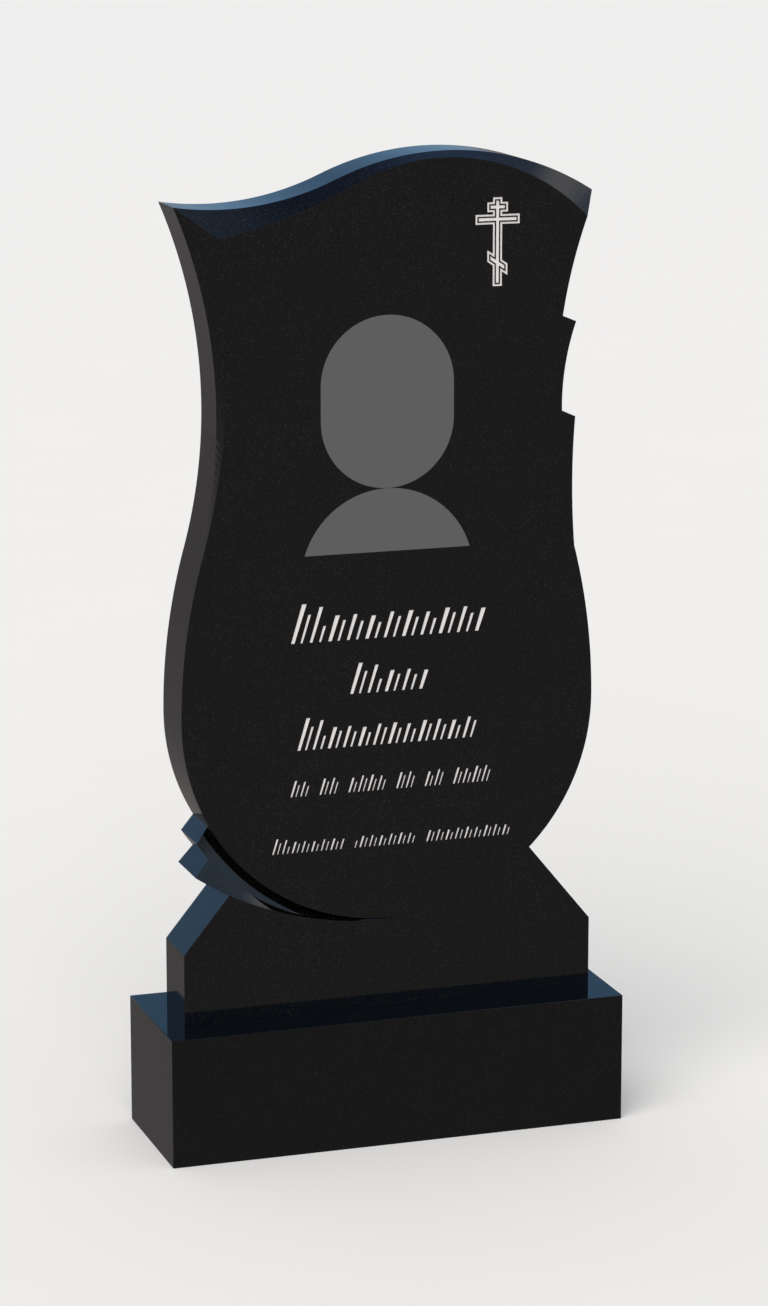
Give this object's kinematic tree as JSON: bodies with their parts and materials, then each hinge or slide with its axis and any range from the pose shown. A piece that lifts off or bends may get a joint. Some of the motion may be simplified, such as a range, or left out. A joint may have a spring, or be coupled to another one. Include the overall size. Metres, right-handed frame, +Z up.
{
  "type": "headstone",
  "caption": "Upright headstone: a vase-shaped polished black slab with a carved crescent, three-bar cross and rows of shallow strokes, on a plain rectangular plinth.",
  "frame": {"origin": "middle of the plinth's underside", "axes": "+Z up, the face looks to -Y, +X to the right as seen from the front"},
  "size_m": [0.5542, 0.1844, 1.1542],
  "materials": {
    "plinth_stone": null,
    "stele_stone": null
  },
  "bodies": {
    "root": {"plinth": "plinth_stone", "stele": "stele_stone"}
  },
  "joints": []
}
